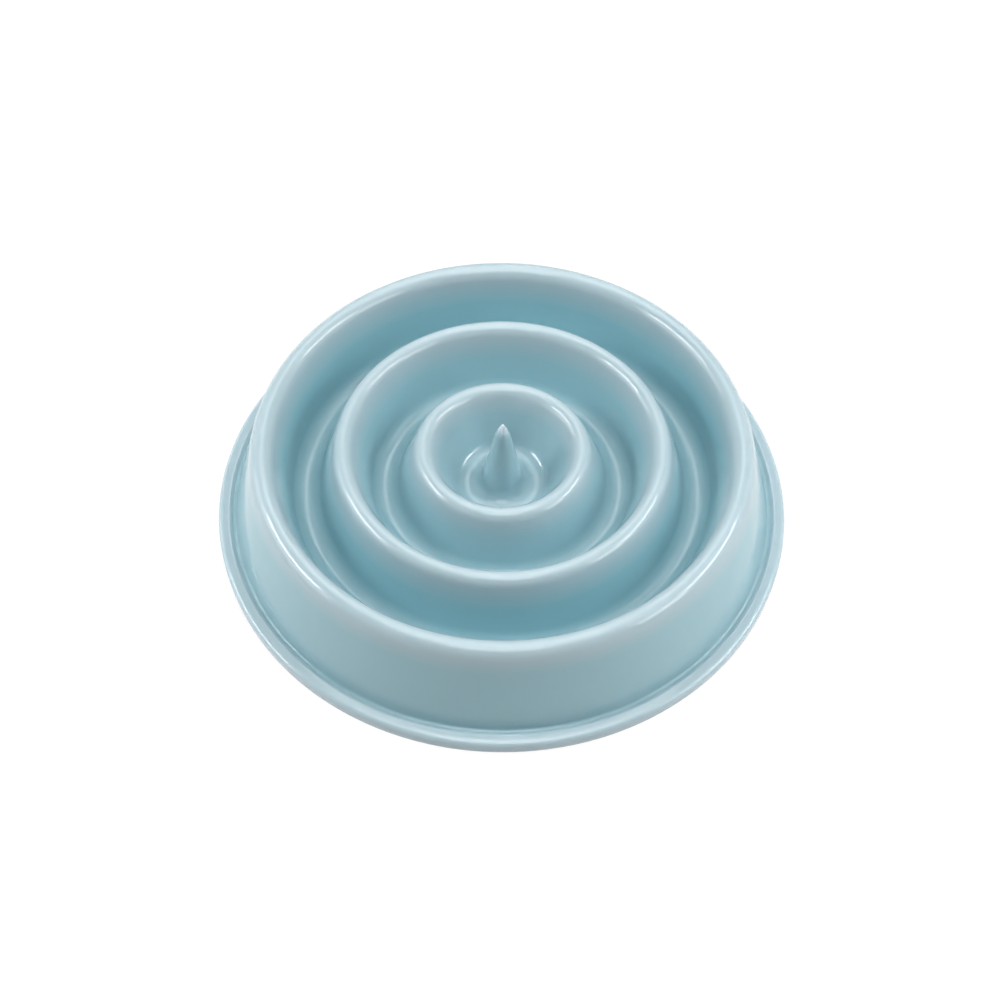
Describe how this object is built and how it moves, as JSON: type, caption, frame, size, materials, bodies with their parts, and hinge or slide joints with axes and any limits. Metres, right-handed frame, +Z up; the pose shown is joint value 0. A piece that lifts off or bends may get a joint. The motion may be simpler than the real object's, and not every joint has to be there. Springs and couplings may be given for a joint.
{
  "type": "slow feeder bowl",
  "caption": "Round slow feeder bowl whose floor ripples in concentric ridges and channels around a central spike, so that a pet eats slowly, on rubber feet.",
  "frame": {"origin": "on the table, under the bowl's axis", "axes": "+Z up along the bowl's axis, +X to the right and +Y away from the viewer in the picture"},
  "size_m": [0.28, 0.28, 0.059],
  "materials": {
    "shell_plastic": "glossy",
    "foot_rubber": "matt"
  },
  "bodies": {
    "root": {"bowl_shell": "shell_plastic", "rubber_foot_1": "foot_rubber", "rubber_foot_2": "foot_rubber", "rubber_foot_3": "foot_rubber", "rubber_foot_4": "foot_rubber", "rubber_foot_5": "foot_rubber", "rubber_foot_6": "foot_rubber"}
  },
  "joints": []
}
